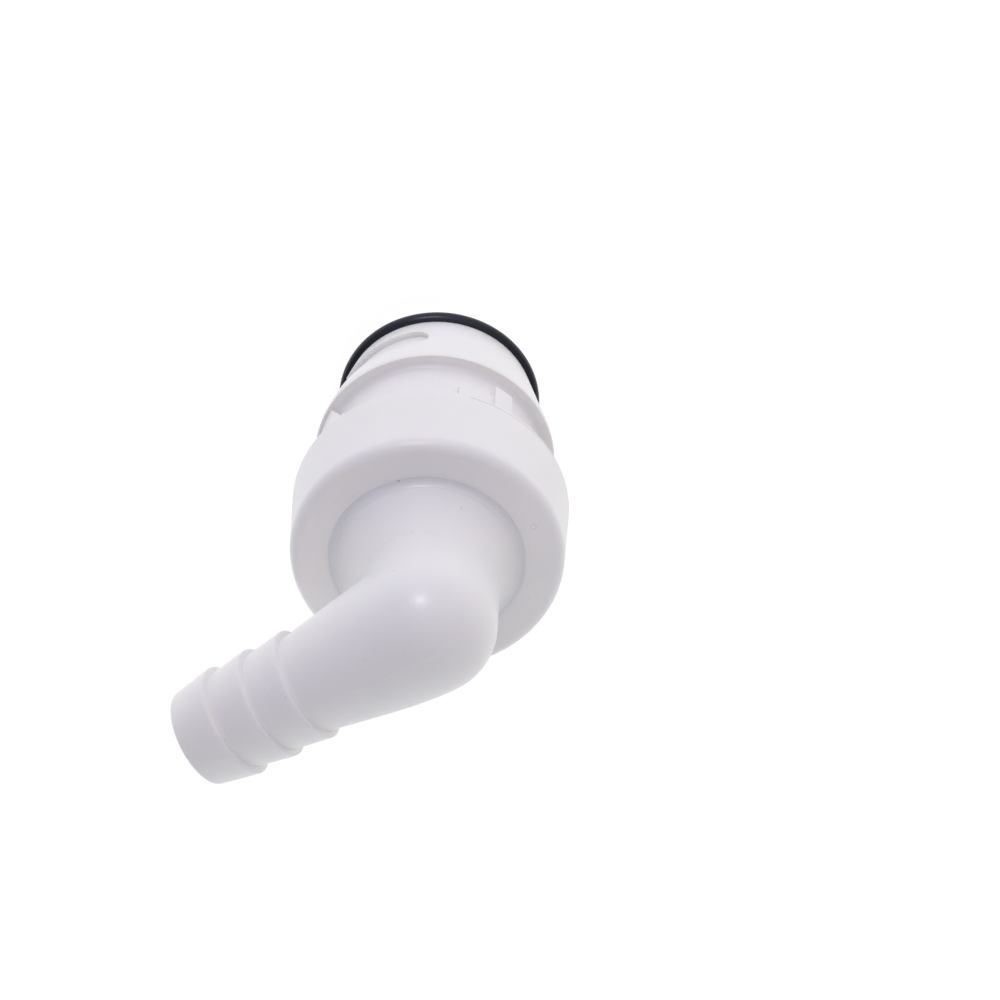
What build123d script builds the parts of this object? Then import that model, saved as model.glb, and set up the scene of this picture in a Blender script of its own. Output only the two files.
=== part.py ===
"""Twist-lock elbow insert of a thru-hull fitting, for 3/4 inch hose.

Frame: millimetres, +Z up along the main axis, origin on that axis at the insert's open end.
+X points along the hose tail. The insert plugs downwards into its receptacle, the cap is
turned to lock the cam slots, and the elbow swivels inside the insert.
"""
import os

from build123d import *

# Main stations along Z
END_FLANGE_TOP = 2.2
SEAL_GROOVE_TOP = 5.6
LIP_LOW_Z = 25.2
LIP_FACE_Z = 26.2
RIM_Z = 43.6
CAP_FACE_Z = 61.0
TAIL_Z = 81.8

# Insert body
END_FLANGE_R = 18.0
END_FLANGE_LEAD_R = 16.8
END_FLANGE_LEAD_Z = 1.6
SEAL_GROOVE_R = 17.1
BARREL_END_R = 18.5
LIP_R = 22.8
LIP_ROOT_ROUND = 1.2
NECK_R = 20.4
NECK_WALL = 3.0
SLEEVE_R = 14.4
END_SOCKET_R = 14.6
WEB_LOW_Z = 12.0
WEB_TOP_Z = 18.0
SLEEVE_TOP_Z = 57.3
NECK_TOP_Z = 57.5

# Cam slots in the barrel, angles in degrees about Z from the hose tail
SLOT_COUNT = 2
SLOT_DEPTH = 1.1
SLOT_LOW_Z = 10.6
SLOT_HIGH_Z = 19.7
SLOT_STOP_ANGLE = -105.5
SLOT_MOUTH_ANGLE = -47.0
SLOT_MOUTH_WIDTH = 7.0

# Lugs on the neck, which run up under the cap's rim, each with its start angle and its sweep
LUG_TOP_Z = 48.0
CATCH_LUG_R = 22.2
CATCH_LUG_ARC = (-74.0, 44.0)
CATCH_RAMP_ANGLE = -61.0
CATCH_RAMP_LENGTH = 8.0
CATCH_RAMP_SHELF = 4.2
CATCH_RAMP_TOP_Z = 34.3
STOP_RIB_R = 22.0
STOP_RIB_LOW_Z = 30.2
STOP_RIB_ARC = (-164.5, 10.0)
PAD_R = 21.3
PAD_LOW_Z = 33.0
PAD_ARC = (-154.5, 18.5)

# Cap
CAP_EDGE_R = 25.0
CAP_RIM_R = 25.7
CAP_WALL = 1.9
CAP_EDGE_ROUND = 2.3
CAP_RIM_CHAMFER = 0.3
CAP_HOLE_R = 16.3
RIM_LINE_Z = 44.3
RIM_LINE_W = 0.22
RIM_LINE_DEPTH = 0.18
RIM_LINE_ARC = (41.0, 180.0)
RIB_COUNT = 8
RIB_ANGLE = 4.0
RIB_LOW_Z = 49.0

# Elbow
HUB_BASE_Z = 61.05
HUB_R = 16.85
HUB_ROOT_ROUND = 1.6
HUB_ROOT_OUT = 0.94
HUB_ROOT_IN = 0.46
HUB_ROOT_RISE = 0.82
HUB_FEATHER = 0.1
FOOT_R = 16.0
HUB_MID_R = 14.25
HUB_MID_Z = 66.2
HUB_WAIST_R = 12.5
HUB_WAIST_Z = 71.2
HUB_MID_SHIFT = 0.25
NECK_SHIFT = 1.0
BALL_R = 12.5
TAIL_ROOT_R = 12.5
TAIL_SHOULDER_X = 9.0
TAIL_SHOULDER_R = 11.7
TAIL_WAIST_X = 23.2
TAIL_WAIST_R = 9.35
TAIL_TAPER = 0.168
BARB_CREST_R = 10.45
BARB_CREST_X = (24.1, 31.8, 39.5)
BARB_ROOT_R = (9.35, 9.4, 9.25)
BARB_LAND = 0.5
BARB_BACK = 0.25
TAIL_TIP_X = 47.8
TAIL_TIP_R = 9.2
TAIL_TIP_ROUND = 1.0
TAIL_BORE_R = 7.6
NECK_BORE_R = 8.6

# Spigot of the elbow, which turns in the insert's sleeve
SPIGOT_R = 12.0
RUNNING_GAP = 0.05
FOOT_Z = 58.3
SPIGOT_END_Z = 7.0
SWIVEL_GROOVE_R = 10.6
SWIVEL_GROOVE_W = 2.3
SWIVEL_SEAL_Z = (46.0, 26.0)
RING_GROOVE_R = 11.0
RING_T = 1.1
RING_R = 13.9
RING_GAP_ANGLE = 40.0
WASHER_T = 1.0
WASHER_R = 14.2
WASHER_HOLE_R = 12.3
THRUST_WASHER_R = 15.9

# Seals, drawn at the height that they are squeezed to
TIP_SEAL_SECTION_R = 1.31
SWIVEL_SEAL_SECTION_R = 0.70

# How far joined or cutting shapes run into, or past, the surface that they meet
OVERLAP = 1.0

os.makedirs("parts", exist_ok=True)


def save(piece, name):
    """Label a finished piece and write it as its own STEP file."""
    piece.part.label = name
    export_step(piece.part, f"parts/{name}.step")


def section_plane(angle):
    """The half plane through the main axis at an angle: x is the radius and y is the height."""
    return Plane(
        origin=(0, 0, 0),
        x_dir=Vector(1, 0, 0).rotate(Axis.Z, angle),
        z_dir=Vector(0, -1, 0).rotate(Axis.Z, angle),
    )


def radial_plane(angle):
    """A plane through the main axis, facing out: x runs along the turning direction and y is up."""
    return Plane(
        origin=(0, 0, 0),
        x_dir=Vector(0, 1, 0).rotate(Axis.Z, angle),
        z_dir=Vector(1, 0, 0).rotate(Axis.Z, angle),
    )


def ring(inner_r, outer_r, low_z, high_z, angle=0.0, sweep=360.0):
    """A plain ring about the main axis, or a sector of one that starts at an angle."""
    with BuildPart() as sector:
        with BuildSketch(section_plane(angle)):
            with Locations(((inner_r + outer_r) / 2, (low_z + high_z) / 2)):
                Rectangle(outer_r - inner_r, high_z - low_z)
        revolve(axis=Axis.Z, revolution_arc=sweep)
    return sector.part


def o_ring(centre_r, section_r, z):
    """An O-ring lying around the main axis."""
    with BuildPart() as seal:
        with BuildSketch(section_plane(0)):
            with Locations((centre_r, z)):
                Circle(section_r)
        revolve(axis=Axis.Z)
    return seal


def cam_slot_tool():
    """One cam slot: a level run with a round stop, and a mouth that opens at the barrel's end."""
    mid_z = (SLOT_LOW_Z + SLOT_HIGH_Z) / 2
    half_w = (SLOT_HIGH_Z - SLOT_LOW_Z) / 2
    inside = END_SOCKET_R + OVERLAP
    outside = LIP_R + OVERLAP
    level_sweep = SLOT_MOUTH_ANGLE - SLOT_STOP_ANGLE
    with BuildPart() as tool:
        add(ring(inside, outside, SLOT_LOW_Z, SLOT_HIGH_Z, SLOT_STOP_ANGLE, level_sweep))
        with BuildSketch(radial_plane(SLOT_STOP_ANGLE)):
            with Locations((0, mid_z)):
                Circle(half_w)
        extrude(amount=outside)
        with BuildSketch(radial_plane(SLOT_MOUTH_ANGLE)):
            with Locations((0, (SLOT_HIGH_Z + SEAL_GROOVE_TOP - OVERLAP) / 2)):
                Rectangle(SLOT_MOUTH_WIDTH, SLOT_HIGH_Z - SEAL_GROOVE_TOP + OVERLAP)
        extrude(amount=outside)
        with BuildSketch(section_plane(0)):
            with BuildLine():
                Polyline(
                    (0.0, SEAL_GROOVE_TOP - OVERLAP),
                    (BARREL_END_R - SLOT_DEPTH, SEAL_GROOVE_TOP - OVERLAP),
                    (BARREL_END_R - SLOT_DEPTH, SEAL_GROOVE_TOP),
                    (LIP_R - SLOT_DEPTH, LIP_LOW_Z),
                    (0.0, LIP_LOW_Z),
                    close=True,
                )
            make_face()
        revolve(axis=Axis.Z, mode=Mode.SUBTRACT)
    return tool.part


def catch_lug():
    """The catch lug between the lip and the rim, with its leading corner cut to a ramp."""
    with BuildPart() as lug:
        add(ring(NECK_R - OVERLAP, CATCH_LUG_R, LIP_FACE_Z, LUG_TOP_Z, *CATCH_LUG_ARC))
        with BuildSketch(radial_plane(CATCH_RAMP_ANGLE)):
            with BuildLine():
                Polyline(
                    (0.0, LIP_FACE_Z),
                    (-CATCH_RAMP_LENGTH, LIP_FACE_Z),
                    (-CATCH_RAMP_LENGTH, CATCH_RAMP_TOP_Z),
                    (-CATCH_RAMP_SHELF, CATCH_RAMP_TOP_Z),
                    close=True,
                )
            make_face()
        extrude(amount=LIP_R, mode=Mode.SUBTRACT)
    return lug.part


# Insert body: barrel with its lip, neck, seal groove, and the sleeve that holds the spigot
sleeve_bore_r = SPIGOT_R + RUNNING_GAP
slot_tool = cam_slot_tool()
with BuildPart() as insert_body:
    with BuildSketch(section_plane(0)):
        with BuildLine():
            Polyline(
                (END_SOCKET_R, 0.0),
                (END_FLANGE_LEAD_R, 0.0),
                (END_FLANGE_R, END_FLANGE_LEAD_Z),
                (END_FLANGE_R, END_FLANGE_TOP),
                (SEAL_GROOVE_R, END_FLANGE_TOP),
                (SEAL_GROOVE_R, SEAL_GROOVE_TOP),
                (BARREL_END_R, SEAL_GROOVE_TOP),
                (LIP_R, LIP_LOW_Z),
                (LIP_R, LIP_FACE_Z),
                (NECK_R + LIP_ROOT_ROUND, LIP_FACE_Z),
            )
            RadiusArc(
                (NECK_R + LIP_ROOT_ROUND, LIP_FACE_Z),
                (NECK_R, LIP_FACE_Z + LIP_ROOT_ROUND),
                LIP_ROOT_ROUND,
            )
            Polyline(
                (NECK_R, LIP_FACE_Z + LIP_ROOT_ROUND),
                (NECK_R, NECK_TOP_Z),
                (NECK_R - NECK_WALL, NECK_TOP_Z),
                (NECK_R - NECK_WALL, WEB_TOP_Z),
                (SLEEVE_R, WEB_TOP_Z),
                (SLEEVE_R, SLEEVE_TOP_Z),
                (sleeve_bore_r, SLEEVE_TOP_Z),
                (sleeve_bore_r, WEB_LOW_Z),
                (END_SOCKET_R, WEB_LOW_Z),
                (END_SOCKET_R, 0.0),
            )
        make_face()
    revolve(axis=Axis.Z)
    for turn in range(SLOT_COUNT):
        add(slot_tool, rotation=(0, 0, turn * 360 / SLOT_COUNT), mode=Mode.SUBTRACT)
    add(catch_lug())
    add(ring(NECK_R - OVERLAP, PAD_R, PAD_LOW_Z, LUG_TOP_Z, *PAD_ARC))
    add(ring(NECK_R - OVERLAP, STOP_RIB_R, STOP_RIB_LOW_Z, LUG_TOP_Z, *STOP_RIB_ARC))
save(insert_body, "insert_body")

# Cap: a cup over the neck, turned by hand; short ribs inside centre it on the neck
skirt_rim_r = CAP_RIM_R - CAP_WALL
skirt_top_r = CAP_EDGE_R - CAP_WALL
with BuildPart() as locking_cap:
    with BuildSketch(section_plane(0)):
        with BuildLine():
            Polyline(
                (CAP_HOLE_R, CAP_FACE_Z),
                (CAP_EDGE_R - CAP_EDGE_ROUND, CAP_FACE_Z),
            )
            RadiusArc(
                (CAP_EDGE_R - CAP_EDGE_ROUND, CAP_FACE_Z),
                (CAP_EDGE_R, CAP_FACE_Z - CAP_EDGE_ROUND),
                CAP_EDGE_ROUND,
            )
            Polyline(
                (CAP_EDGE_R, CAP_FACE_Z - CAP_EDGE_ROUND),
                (CAP_RIM_R, RIM_Z + CAP_RIM_CHAMFER),
                (CAP_RIM_R - CAP_RIM_CHAMFER, RIM_Z),
                (skirt_rim_r, RIM_Z),
                (skirt_top_r, NECK_TOP_Z),
                (CAP_HOLE_R, NECK_TOP_Z),
                (CAP_HOLE_R, CAP_FACE_Z),
            )
        make_face()
    revolve(axis=Axis.Z)
    for turn in range(RIB_COUNT):
        add(ring(NECK_R, skirt_rim_r, RIB_LOW_Z, NECK_TOP_Z, turn * 360 / RIB_COUNT, RIB_ANGLE))
    rim_line = ring(
        CAP_RIM_R - RIM_LINE_DEPTH,
        CAP_RIM_R + OVERLAP,
        RIM_LINE_Z,
        RIM_LINE_Z + RIM_LINE_W,
        *RIM_LINE_ARC,
    )
    add(rim_line, mode=Mode.SUBTRACT)
save(locking_cap, "locking_cap")

# Elbow: hub, neck, corner and barbed tail in one moulding, with the spigot below
with BuildPart() as elbow_tail:
    with BuildSketch(Plane.XY.offset(HUB_BASE_Z)):
        Circle(HUB_R)
    with BuildSketch(Plane.XY.offset(HUB_MID_Z)):
        with Locations((-HUB_MID_SHIFT, 0)):
            Circle(HUB_MID_R)
    with BuildSketch(Plane.XY.offset(HUB_WAIST_Z)):
        with Locations((-NECK_SHIFT, 0)):
            Circle(HUB_WAIST_R)
    loft()
    with BuildSketch(Plane.XY.offset(HUB_WAIST_Z)):
        with Locations((-NECK_SHIFT, 0)):
            Circle(HUB_WAIST_R)
    extrude(amount=TAIL_Z - HUB_WAIST_Z)
    with Locations((-NECK_SHIFT, 0, TAIL_Z)):
        Sphere(BALL_R)
    with BuildSketch(section_plane(0)):
        with BuildLine():
            crest_points = []
            for crest_x, root_r in zip(BARB_CREST_X, BARB_ROOT_R):
                crest_points.append((crest_x - BARB_BACK, TAIL_Z + root_r))
                crest_points.append((crest_x, TAIL_Z + BARB_CREST_R))
                crest_points.append((crest_x + BARB_LAND, TAIL_Z + BARB_CREST_R))
            Spline(
                (-NECK_SHIFT, TAIL_Z + TAIL_ROOT_R),
                (TAIL_SHOULDER_X, TAIL_Z + TAIL_SHOULDER_R),
                (TAIL_WAIST_X, TAIL_Z + TAIL_WAIST_R),
                tangents=((1.0, 0.0), (1.0, -TAIL_TAPER)),
            )
            Polyline(
                (TAIL_WAIST_X, TAIL_Z + TAIL_WAIST_R),
                *crest_points,
                (TAIL_TIP_X - TAIL_TIP_ROUND, TAIL_Z + TAIL_TIP_R),
            )
            RadiusArc(
                (TAIL_TIP_X - TAIL_TIP_ROUND, TAIL_Z + TAIL_TIP_R),
                (TAIL_TIP_X, TAIL_Z + TAIL_TIP_R - TAIL_TIP_ROUND),
                TAIL_TIP_ROUND,
            )
            Polyline(
                (TAIL_TIP_X, TAIL_Z + TAIL_TIP_R - TAIL_TIP_ROUND),
                (TAIL_TIP_X, TAIL_Z),
                (-NECK_SHIFT, TAIL_Z),
                (-NECK_SHIFT, TAIL_Z + TAIL_ROOT_R),
            )
        make_face()
    revolve(axis=Axis((0, 0, TAIL_Z), (1, 0, 0)))
    with BuildSketch(Plane.XY.offset(FOOT_Z)):
        Circle(FOOT_R)
    extrude(amount=HUB_BASE_Z - FOOT_Z)
    # Hollow round at the hub's root, which runs out to a feather edge just clear of the cap
    root_low_z = HUB_BASE_Z + HUB_FEATHER
    with BuildSketch(section_plane(0)):
        with BuildLine():
            Polyline(
                (HUB_R - HUB_ROOT_IN, root_low_z + HUB_ROOT_RISE),
                (SPIGOT_R, root_low_z + HUB_ROOT_RISE),
                (SPIGOT_R, HUB_BASE_Z),
                (HUB_R + HUB_ROOT_OUT, HUB_BASE_Z),
                (HUB_R + HUB_ROOT_OUT, root_low_z),
            )
            RadiusArc(
                (HUB_R + HUB_ROOT_OUT, root_low_z),
                (HUB_R - HUB_ROOT_IN, root_low_z + HUB_ROOT_RISE),
                HUB_ROOT_ROUND,
            )
        make_face()
    revolve(axis=Axis.Z)
    with BuildSketch(Plane.XY.offset(SPIGOT_END_Z)):
        Circle(SPIGOT_R)
    extrude(amount=FOOT_Z - SPIGOT_END_Z)
    for seal_z in SWIVEL_SEAL_Z:
        half_w = SWIVEL_GROOVE_W / 2
        seal_groove = ring(SWIVEL_GROOVE_R, SPIGOT_R + OVERLAP, seal_z - half_w, seal_z + half_w)
        add(seal_groove, mode=Mode.SUBTRACT)
    ring_top_z = WEB_LOW_Z - WASHER_T
    add(ring(RING_GROOVE_R, SPIGOT_R + OVERLAP, ring_top_z - RING_T, ring_top_z), mode=Mode.SUBTRACT)
    with BuildSketch(Plane.XY.offset(SPIGOT_END_Z)):
        Circle(NECK_BORE_R)
    extrude(amount=TAIL_Z - SPIGOT_END_Z, mode=Mode.SUBTRACT)
    with Locations((0, 0, TAIL_Z)):
        Sphere(NECK_BORE_R, mode=Mode.SUBTRACT)
    with BuildSketch(section_plane(0)):
        with BuildLine():
            Polyline(
                (0, TAIL_Z),
                (0, TAIL_Z + NECK_BORE_R),
                (TAIL_WAIST_X, TAIL_Z + TAIL_BORE_R),
                (TAIL_TIP_X, TAIL_Z + TAIL_BORE_R),
                (TAIL_TIP_X, TAIL_Z),
                close=True,
            )
        make_face()
    revolve(axis=Axis((0, 0, TAIL_Z), (1, 0, 0)), mode=Mode.SUBTRACT)
save(elbow_tail, "elbow_tail")

# Seals
tip_seal = o_ring(
    SEAL_GROOVE_R + TIP_SEAL_SECTION_R,
    TIP_SEAL_SECTION_R,
    SEAL_GROOVE_TOP - TIP_SEAL_SECTION_R,
)
save(tip_seal, "tip_o_ring")
for seal_name, seal_z in zip(("upper_swivel_o_ring", "lower_swivel_o_ring"), SWIVEL_SEAL_Z):
    swivel_seal = o_ring(SWIVEL_GROOVE_R + SWIVEL_SEAL_SECTION_R, SWIVEL_SEAL_SECTION_R, seal_z)
    save(swivel_seal, seal_name)

# Thrust washer between the elbow's foot and the sleeve's top
with BuildPart() as thrust_washer:
    add(ring(WASHER_HOLE_R, THRUST_WASHER_R, SLEEVE_TOP_Z, FOOT_Z))
save(thrust_washer, "thrust_washer")

# Bearing washer between the sleeve's lower end and the retaining ring
with BuildPart() as bearing_washer:
    add(ring(WASHER_HOLE_R, WASHER_R, WEB_LOW_Z - WASHER_T, WEB_LOW_Z))
save(bearing_washer, "bearing_washer")

# Retaining ring: an open snap ring with a plier eye at each end
with BuildPart() as retaining_ring:
    ring_low_z = ring_top_z - RING_T
    add(ring(RING_GROOVE_R, RING_R, ring_low_z, ring_top_z, RING_GAP_ANGLE / 2, 360.0 - RING_GAP_ANGLE))
    with BuildSketch(Plane.XY.offset(ring_low_z)):
        with PolarLocations(
            (RING_GROOVE_R + RING_R) / 2, 2, start_angle=-RING_GAP_ANGLE / 2, angular_range=2 * RING_GAP_ANGLE
        ):
            Circle((RING_R - RING_GROOVE_R) / 2)
    extrude(amount=RING_T)
save(retaining_ring, "retaining_ring")
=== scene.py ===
"""Looks of the twist-lock elbow insert: camera, light, floor and moulded-plastic materials."""
import math

import bpy
from mathutils import Matrix, Vector


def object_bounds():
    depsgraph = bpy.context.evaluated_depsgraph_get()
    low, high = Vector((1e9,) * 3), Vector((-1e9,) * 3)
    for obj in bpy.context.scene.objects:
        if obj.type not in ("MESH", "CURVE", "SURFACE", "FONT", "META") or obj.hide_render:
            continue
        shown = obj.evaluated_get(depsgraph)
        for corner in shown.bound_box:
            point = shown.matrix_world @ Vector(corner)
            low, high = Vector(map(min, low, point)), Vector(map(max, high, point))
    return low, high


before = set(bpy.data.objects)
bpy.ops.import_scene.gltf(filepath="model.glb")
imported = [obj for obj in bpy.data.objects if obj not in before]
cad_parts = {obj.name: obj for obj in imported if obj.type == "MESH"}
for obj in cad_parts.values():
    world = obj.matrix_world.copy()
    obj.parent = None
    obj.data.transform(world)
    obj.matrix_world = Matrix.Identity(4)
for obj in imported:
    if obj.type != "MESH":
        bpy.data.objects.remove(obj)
cad_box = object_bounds()
scene = bpy.context.scene
scene.view_settings.view_transform = "Standard"
scene.view_settings.look = "None"

MM = 0.001

# Viewpoint, in degrees and metres: azimuth 0 looks along +Y. The roll turns the view nearly upside
# down.
VIEW_AZIMUTH = -33.942
VIEW_ELEVATION = 57.416
VIEW_ROLL = 177.634
VIEW_DISTANCE = 0.54178
VIEW_TARGET = Vector((-0.016016, -0.000901, 0.054807))
VIEW_LENS = 107.777
SENSOR_WIDTH = 36.0


def make_camera():
    """A camera that looks at the target from the view's azimuth, elevation and distance."""
    data = bpy.data.cameras.new("camera")
    data.lens = VIEW_LENS
    data.sensor_width = SENSOR_WIDTH
    data.clip_start = 0.01
    data.clip_end = 50.0
    camera = bpy.data.objects.new("camera", data)
    scene.collection.objects.link(camera)
    azimuth = math.radians(VIEW_AZIMUTH)
    elevation = math.radians(VIEW_ELEVATION)
    to_viewer = Vector((
        math.sin(azimuth) * math.cos(elevation),
        -math.cos(azimuth) * math.cos(elevation),
        math.sin(elevation),
    ))
    aim = (-to_viewer).to_track_quat("-Z", "Y").to_matrix().to_4x4()
    roll = Matrix.Rotation(math.radians(-VIEW_ROLL), 4, "Z")
    camera.matrix_world = Matrix.Translation(VIEW_TARGET + to_viewer * VIEW_DISTANCE) @ aim @ roll
    scene.camera = camera


make_camera()


class Tree:
    """A node tree, with short calls for adding nodes and joining them."""

    def __init__(self, owner):
        owner.use_nodes = True
        self.tree = owner.node_tree
        self.tree.nodes.clear()

    def add(self, kind, inputs=None, **settings):
        """Adds a node. A value in inputs is a constant, or a socket to join to."""
        node = self.tree.nodes.new(kind)
        for key, value in settings.items():
            setattr(node, key, value)
        for key, value in (inputs or {}).items():
            if isinstance(value, bpy.types.NodeSocket):
                self.tree.links.new(value, node.inputs[key])
            else:
                node.inputs[key].default_value = value
        return node

    def math(self, operation, a, b=0.0):
        """A Math node's result."""
        return self.add("ShaderNodeMath", {0: a, 1: b}, operation=operation).outputs[0]

    def noise(self, vector, scale, detail=4.0, roughness=0.5):
        """A Noise texture's value, at so many features to the metre."""
        inputs = {"Vector": vector, "Scale": scale, "Detail": detail, "Roughness": roughness}
        return self.add("ShaderNodeTexNoise", inputs).outputs["Fac"]

    def fade(self, value, low, high, out_low=0.0, out_high=1.0):
        """A clamped smooth change from out_low to out_high, as value goes from low to high."""
        inputs = {"Value": value, "From Min": low, "From Max": high, "To Min": out_low, "To Max": out_high}
        node = self.add("ShaderNodeMapRange", inputs, interpolation_type="SMOOTHSTEP")
        return node.outputs["Result"]

    def mix(self, factor, a, b):
        """A colour between a and b. These are the Mix node's factor and colour sockets."""
        return self.add("ShaderNodeMix", {0: factor, 6: a, 7: b}, data_type="RGBA").outputs[2]

    def distance(self, place, x, y, z):
        """How far a place is from a point given in millimetres."""
        inputs = {0: place, 1: (x * MM, y * MM, z * MM)}
        return self.add("ShaderNodeVectorMath", inputs, operation="DISTANCE").outputs["Value"]


# Studio light: broad soft boxes, each with the turn about +Z from +X and the elevation
# that it shines from, in degrees, and its colour; and a dim cool band all round at table height
SOFT_BOXES = {
    "key": (60, 10, (0.80, 0.86, 0.88)),
    "side_fill": (245, 10, (0.22, 0.25, 0.52)),
    "warm_top": (220, 45, (0.60, 0.54, 0.48)),
    "overhead": (0, 90, (0.38, 0.37, 0.42)),
}
BOX_FALLOFF = 3.0
BAND_COLOUR = (0.38, 0.39, 0.44)
BAND_FALLOFF = 2.0


def make_world():
    """Adds up the soft boxes and the band, which is brightest level with the table."""
    world = bpy.data.worlds.new("studio")
    scene.world = world
    t = Tree(world)
    way = t.add("ShaderNodeTexCoord").outputs["Generated"]
    tilt = t.add("ShaderNodeSeparateXYZ", {"Vector": way}).outputs["Z"]
    level = t.math("SUBTRACT", 1.0, t.math("MULTIPLY", tilt, tilt))
    glow = t.math("POWER", t.math("MAXIMUM", level, 0.0), BAND_FALLOFF)
    band = t.add("ShaderNodeVectorMath", {0: BAND_COLOUR, "Scale": glow}, operation="SCALE")
    total = band.outputs["Vector"]
    for turn, height, colour in SOFT_BOXES.values():
        a = math.radians(turn)
        e = math.radians(height)
        middle = (math.cos(a) * math.cos(e), math.sin(a) * math.cos(e), math.sin(e))
        dot = t.add("ShaderNodeVectorMath", {0: way, 1: middle}, operation="DOT_PRODUCT").outputs["Value"]
        glow = t.math("POWER", t.math("MAXIMUM", dot, 0.0), BOX_FALLOFF)
        part = t.add("ShaderNodeVectorMath", {0: colour, "Scale": glow}, operation="SCALE").outputs["Vector"]
        total = t.add("ShaderNodeVectorMath", {0: part, 1: total}, operation="ADD").outputs["Vector"]
    sky = t.add("ShaderNodeBackground", {"Color": total, "Strength": 1.0})
    t.add("ShaderNodeOutputWorld", {"Surface": sky.outputs[0]})


make_world()

# Floor: plain and pale, lit from within like a light table
FLOOR_HALF = 3.0
FLOOR_GAP = 0.0002
FLOOR_COLOUR = (0.30, 0.30, 0.30, 1.0)
FLOOR_GLOW = 0.84


def make_floor():
    """A wide flat square just under the object."""
    z = cad_box[0].z - FLOOR_GAP
    corners = [
        (-FLOOR_HALF, -FLOOR_HALF, z),
        (FLOOR_HALF, -FLOOR_HALF, z),
        (FLOOR_HALF, FLOOR_HALF, z),
        (-FLOOR_HALF, FLOOR_HALF, z),
    ]
    mesh = bpy.data.meshes.new("floor")
    mesh.from_pydata(corners, [], [(0, 1, 2, 3)])
    floor = bpy.data.objects.new("floor", mesh)
    scene.collection.objects.link(floor)
    material = bpy.data.materials.new("pale_floor")
    t = Tree(material)
    surface = t.add(
        "ShaderNodeBsdfPrincipled",
        {
            "Base Color": FLOOR_COLOUR,
            "Roughness": 0.9,
            "Emission Color": (1.0, 1.0, 1.0, 1.0),
            "Emission Strength": FLOOR_GLOW,
        },
    )
    t.add("ShaderNodeOutputMaterial", {"Surface": surface.outputs[0]})
    mesh.materials.append(material)


make_floor()

# A small lamp that shows only in reflections, as the glint on the elbow's corner
TAIL_AXIS = Vector((0.0, 0.0, 0.0818))
GLINT_WAY = Vector((-0.384, -0.876, 0.291))
GLINT_DISTANCE = 0.60
GLINT_WIDTH = 0.12
GLINT_HEIGHT = 0.07
GLINT_POWER = 0.8


def make_glint():
    """Stands the lamp off from the corner, facing it."""
    lamp = bpy.data.lights.new("glint_lamp", "AREA")
    lamp.shape = "RECTANGLE"
    lamp.size = GLINT_WIDTH
    lamp.size_y = GLINT_HEIGHT
    lamp.energy = GLINT_POWER
    glint = bpy.data.objects.new("glint_lamp", lamp)
    glint.location = TAIL_AXIS + GLINT_WAY.normalized() * GLINT_DISTANCE
    glint.rotation_euler = GLINT_WAY.to_track_quat("Z", "Y").to_euler()
    glint.visible_diffuse = False
    glint.visible_camera = False
    scene.collection.objects.link(glint)


make_glint()

# Moulding marks, in millimetres: x, y, z and radius of two dark specks on the elbow, and of the
# small ring-shaped sink mark on the cap's face
HUB_SPECK = (-5.0, -17.0, 61.2, 0.24)
CORNER_SPECK = (-2.3, -12.4, 81.8, 0.15)
CAP_RING_MARK = (-20.3, 3.8, 61.0, 0.50)
RING_MARK_WIDTH = 0.16

# Mould seam over the elbow's corner, in metres
SEAM_Y = -0.0006
SEAM_LOW_Z = 0.0858
SEAM_START_X = -0.009
SEAM_END_X = 0.0135
SEAM_FADE = 0.002
SEAM_CORE = 0.00003
SEAM_EDGE = 0.00017
SEAM_WANDER = 0.0009

# Acetal: two near shades that drift into each other, the specks' colour, and the roughness range
PALE_PLASTIC = (0.905, 0.884, 0.868, 1.0)
DEEP_PLASTIC = (0.885, 0.862, 0.842, 1.0)
SPECK_COLOUR = (0.34, 0.32, 0.31, 1.0)
PLASTIC_ROUGHNESS = (0.30, 0.39)


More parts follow.
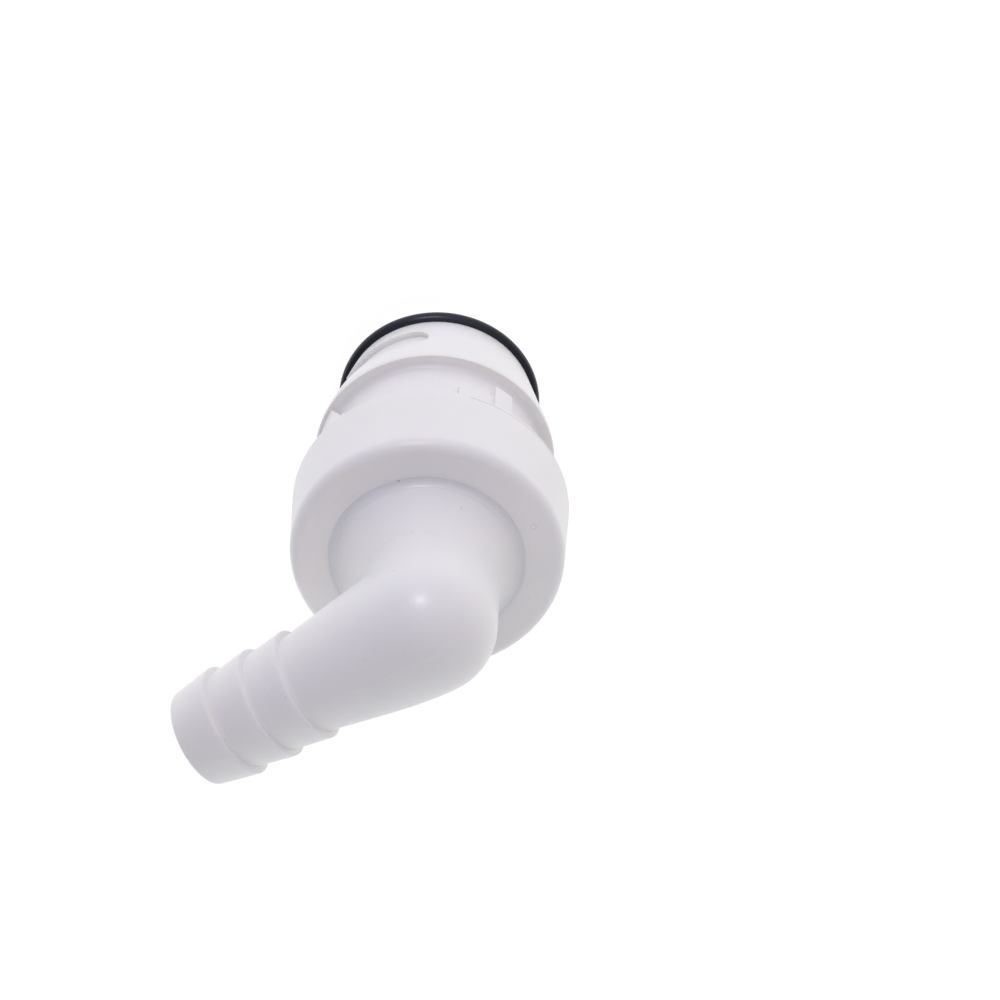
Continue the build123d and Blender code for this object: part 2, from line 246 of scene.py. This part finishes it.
def moulded_plastic(name, specks=(), ring_mark=None, seam=False):
    """Off-white acetal: soft gloss, faint flow marks, fine texture, and specks at given places."""
    material = bpy.data.materials.new(name)
    t = Tree(material)
    place = t.add("ShaderNodeTexCoord").outputs["Object"]
    cloud = t.noise(place, 60.0, 3.0)
    flow = t.noise(place, 220.0, 5.0, 0.6)
    grain = t.noise(place, 2600.0, 4.0, 0.65)
    dots = t.math("MULTIPLY", t.fade(t.noise(place, 2400.0, 0.0), 0.86, 0.90), 0.5)
    for x, y, z, radius in specks:
        far = t.distance(place, x, y, z)
        dots = t.math("MAXIMUM", dots, t.fade(far, radius * 0.3 * MM, radius * 1.2 * MM, 1.0, 0.0))
    body = t.mix(t.fade(cloud, 0.35, 0.65), DEEP_PLASTIC, PALE_PLASTIC)
    body = t.mix(t.math("MULTIPLY", dots, 0.75), body, SPECK_COLOUR)
    height = t.math("ADD", t.math("MULTIPLY", flow, 0.6), t.math("MULTIPLY", grain, 0.12))
    height = t.math("SUBTRACT", height, dots)
    if ring_mark:
        x, y, z, radius = ring_mark
        off = t.math("ABSOLUTE", t.math("SUBTRACT", t.distance(place, x, y, z), radius * MM))
        ring = t.fade(off, 0.0, RING_MARK_WIDTH * MM, 1.0, 0.0)
        body = t.mix(t.math("MULTIPLY", ring, 0.45), body, (0.60, 0.60, 0.60, 1.0))
        height = t.math("SUBTRACT", height, t.math("MULTIPLY", ring, 1.5))
    if seam:
        xyz = t.add("ShaderNodeSeparateXYZ", {"Vector": place})
        wander = t.math("MULTIPLY", t.math("SUBTRACT", t.noise(place, 190.0, 2.0), 0.5), SEAM_WANDER)
        off = t.math("ABSOLUTE", t.math("SUBTRACT", t.math("ADD", xyz.outputs["Y"], wander), SEAM_Y))
        line = t.fade(off, SEAM_CORE, SEAM_EDGE, 1.0, 0.0)
        line = t.math("MULTIPLY", line, t.fade(xyz.outputs["Z"], SEAM_LOW_Z, SEAM_LOW_Z + SEAM_FADE))
        line = t.math("MULTIPLY", line, t.fade(xyz.outputs["X"], SEAM_START_X - SEAM_FADE, SEAM_START_X))
        far_end = t.fade(xyz.outputs["X"], SEAM_END_X, SEAM_END_X + SEAM_FADE, 1.0, 0.0)
        line = t.math("MULTIPLY", line, far_end)
        line = t.math("MULTIPLY", line, t.fade(t.noise(place, 420.0, 3.0), 0.40, 0.56, 0.1, 1.0))
        height = t.math("ADD", height, t.math("MULTIPLY", line, 1.4))
        body = t.mix(t.math("MULTIPLY", line, 0.5), body, (0.97, 0.96, 0.96, 1.0))
    bump = t.add("ShaderNodeBump", {"Height": height, "Strength": 0.22, "Distance": 0.0001})
    shader = t.add(
        "ShaderNodeBsdfPrincipled",
        {
            "Base Color": body,
            "Roughness": t.fade(flow, 0.3, 0.7, *PLASTIC_ROUGHNESS),
            "IOR": 1.48,
            "Subsurface Weight": 0.25,
            "Subsurface Radius": (1.0, 0.75, 0.55),
            "Subsurface Scale": 0.0016,
            "Normal": bump.outputs[0],
        },
    )
    t.add("ShaderNodeOutputMaterial", {"Surface": shader.outputs[0]})
    return material


def seal_rubber():
    """Black nitrile with a thin, uneven film of grease and a little dust."""
    material = bpy.data.materials.new("seal_rubber")
    t = Tree(material)
    place = t.add("ShaderNodeTexCoord").outputs["Object"]
    film = t.noise(place, 180.0, 4.0, 0.6)
    grain = t.noise(place, 4200.0, 3.0, 0.6)
    dust = t.fade(t.noise(place, 900.0, 6.0, 0.7), 0.60, 0.76)
    body = t.mix(t.math("MULTIPLY", dust, 0.3), (0.008, 0.008, 0.010, 1.0), (0.050, 0.048, 0.045, 1.0))
    bump = t.add("ShaderNodeBump", {"Height": grain, "Strength": 0.25, "Distance": 0.00005})
    shader = t.add(
        "ShaderNodeBsdfPrincipled",
        {
            "Base Color": body,
            "Roughness": t.fade(film, 0.35, 0.65, 0.30, 0.42),
            "IOR": 1.47,
            "Specular Tint": (0.74, 0.82, 1.0, 1.0),
            "Normal": bump.outputs[0],
        },
    )
    t.add("ShaderNodeOutputMaterial", {"Surface": shader.outputs[0]})
    return material


def washer_plastic():
    """Natural low-friction plastic with turning marks."""
    material = bpy.data.materials.new("washer_plastic")
    t = Tree(material)
    place = t.add("ShaderNodeTexCoord").outputs["Object"]
    waves = {"Vector": place, "Scale": 900.0, "Distortion": 0.6}
    turned = t.add("ShaderNodeTexWave", waves, wave_type="RINGS", rings_direction="Z").outputs["Fac"]
    body = t.mix(t.noise(place, 300.0), (0.70, 0.68, 0.62, 1.0), (0.78, 0.76, 0.71, 1.0))
    bump = t.add("ShaderNodeBump", {"Height": turned, "Strength": 0.2, "Distance": 0.00005})
    shader = t.add(
        "ShaderNodeBsdfPrincipled",
        {"Base Color": body, "Roughness": t.fade(turned, 0.0, 1.0, 0.45, 0.6), "Normal": bump.outputs[0]},
    )
    t.add("ShaderNodeOutputMaterial", {"Surface": shader.outputs[0]})
    return material


def ring_steel():
    """Blanked stainless spring steel: brushed faces, with darker stains in places."""
    material = bpy.data.materials.new("ring_steel")
    t = Tree(material)
    place = t.add("ShaderNodeTexCoord").outputs["Object"]
    stretched = t.add("ShaderNodeMapping", {"Vector": place, "Scale": (1.0, 14.0, 1.0)}).outputs[0]
    brushed = t.noise(stretched, 700.0, 4.0, 0.6)
    body = t.mix(t.noise(place, 240.0), (0.46, 0.45, 0.44, 1.0), (0.62, 0.62, 0.62, 1.0))
    bump = t.add("ShaderNodeBump", {"Height": brushed, "Strength": 0.25, "Distance": 0.00004})
    shader = t.add(
        "ShaderNodeBsdfPrincipled",
        {
            "Base Color": body,
            "Metallic": 1.0,
            "Roughness": t.fade(brushed, 0.3, 0.7, 0.30, 0.42),
            "Normal": bump.outputs[0],
        },
    )
    t.add("ShaderNodeOutputMaterial", {"Surface": shader.outputs[0]})
    return material


def paint(material, *nodes):
    """Gives every material slot of these CAD nodes one material."""
    for node in nodes:
        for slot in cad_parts[node].material_slots:
            slot.link = "OBJECT"
            slot.material = material


paint(moulded_plastic("body_plastic"), "insert_body")
paint(moulded_plastic("cap_plastic", ring_mark=CAP_RING_MARK), "locking_cap")
paint(moulded_plastic("elbow_plastic", (HUB_SPECK, CORNER_SPECK), seam=True), "elbow_tail")
paint(seal_rubber(), "tip_o_ring", "upper_swivel_o_ring", "lower_swivel_o_ring")
paint(washer_plastic(), "thrust_washer", "bearing_washer")
paint(ring_steel(), "retaining_ring")
